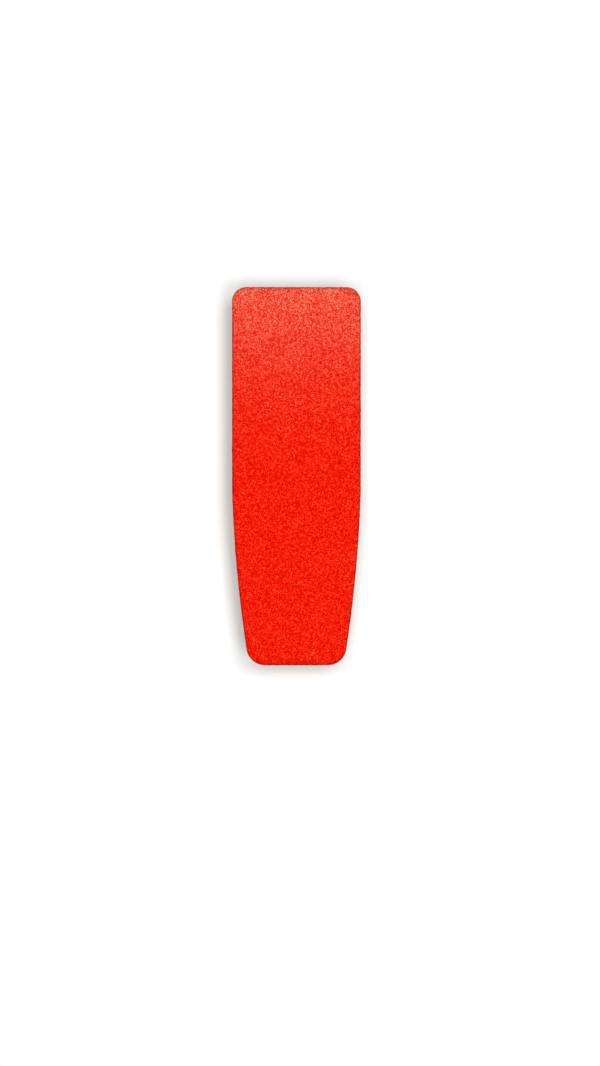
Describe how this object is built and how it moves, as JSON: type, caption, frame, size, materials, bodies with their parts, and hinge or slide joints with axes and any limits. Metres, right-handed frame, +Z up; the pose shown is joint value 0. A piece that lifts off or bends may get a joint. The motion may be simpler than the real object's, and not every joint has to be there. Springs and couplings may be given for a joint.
{
  "type": "balance board",
  "caption": "Foot-long wooden balance board: flat red non-slip top, wide toe end drawing in to a narrower heel end, and a boat-shaped underside with a flat middle that it rocks and turns on.",
  "frame": {"origin": "on the floor, under the middle of the board's length and width", "axes": "+X along the board from the wide toe end to the narrow heel end, +Y across it, +Z up through the standing face"},
  "size_m": [0.32, 0.109, 0.0318],
  "materials": {
    "wood": "sanded, clear matt lacquer",
    "adhesive": "matt",
    "backing": "matt",
    "covering": "needle-punched felt"
  },
  "bodies": {
    "root": {"wooden_body": "wood", "adhesive_film": "adhesive", "rubber_backing": "backing", "grip_covering": "covering"}
  },
  "joints": []
}
